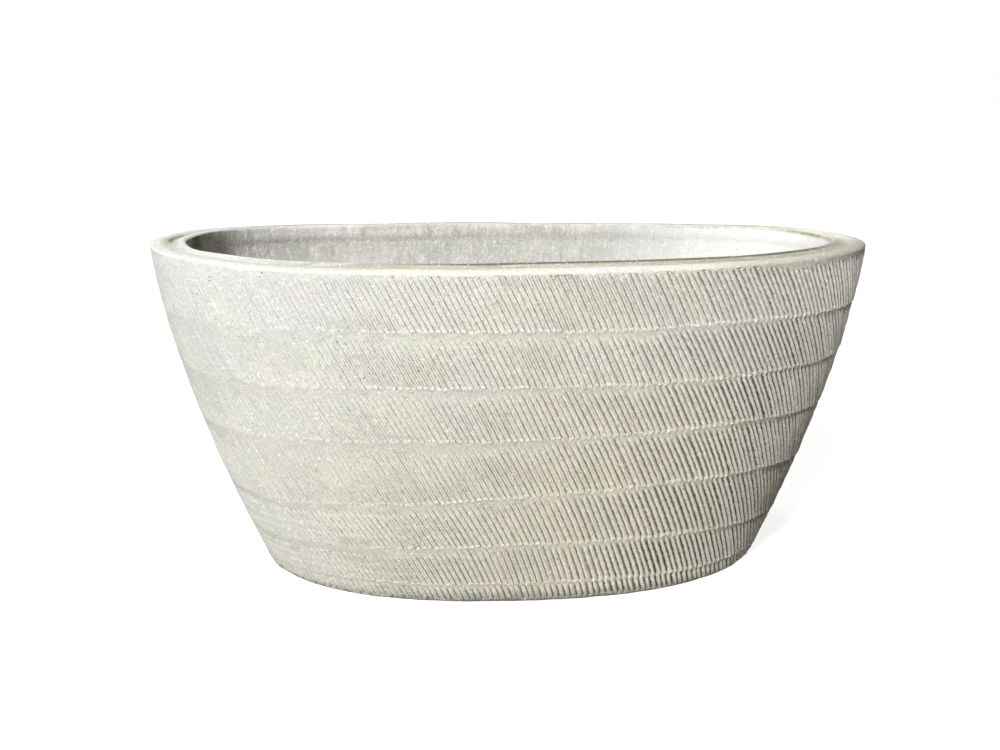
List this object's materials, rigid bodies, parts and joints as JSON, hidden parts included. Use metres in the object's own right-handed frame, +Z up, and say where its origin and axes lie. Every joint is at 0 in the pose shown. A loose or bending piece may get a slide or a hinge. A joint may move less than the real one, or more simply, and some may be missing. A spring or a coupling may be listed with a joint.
{
  "type": "oval bowl planter",
  "caption": "Long oval concrete bowl planter with a flared, combed wall, a rolled rim and a rubber plug that lifts out of its drain hole.",
  "frame": {"origin": "centre of the footprint, on the standing surface under the foot ring", "axes": "+X along the long axis of the oval, +Z up out of the mouth"},
  "size_m": [0.3996, 0.2048, 0.1885],
  "materials": {
    "concrete": "pale warm grey cast concrete, combed while soft, matt and slightly sandy",
    "rubber": "matt black moulded rubber"
  },
  "bodies": {
    "bowl": {"bowl": "concrete"},
    "plug": {"drain_plug": "rubber"}
  },
  "joints": [
    {"name": "plug_lift", "type": "slide", "parent": "bowl", "child": "plug", "axis": [0, 0, 1], "range_m": [0, 0.2]}
  ]
}
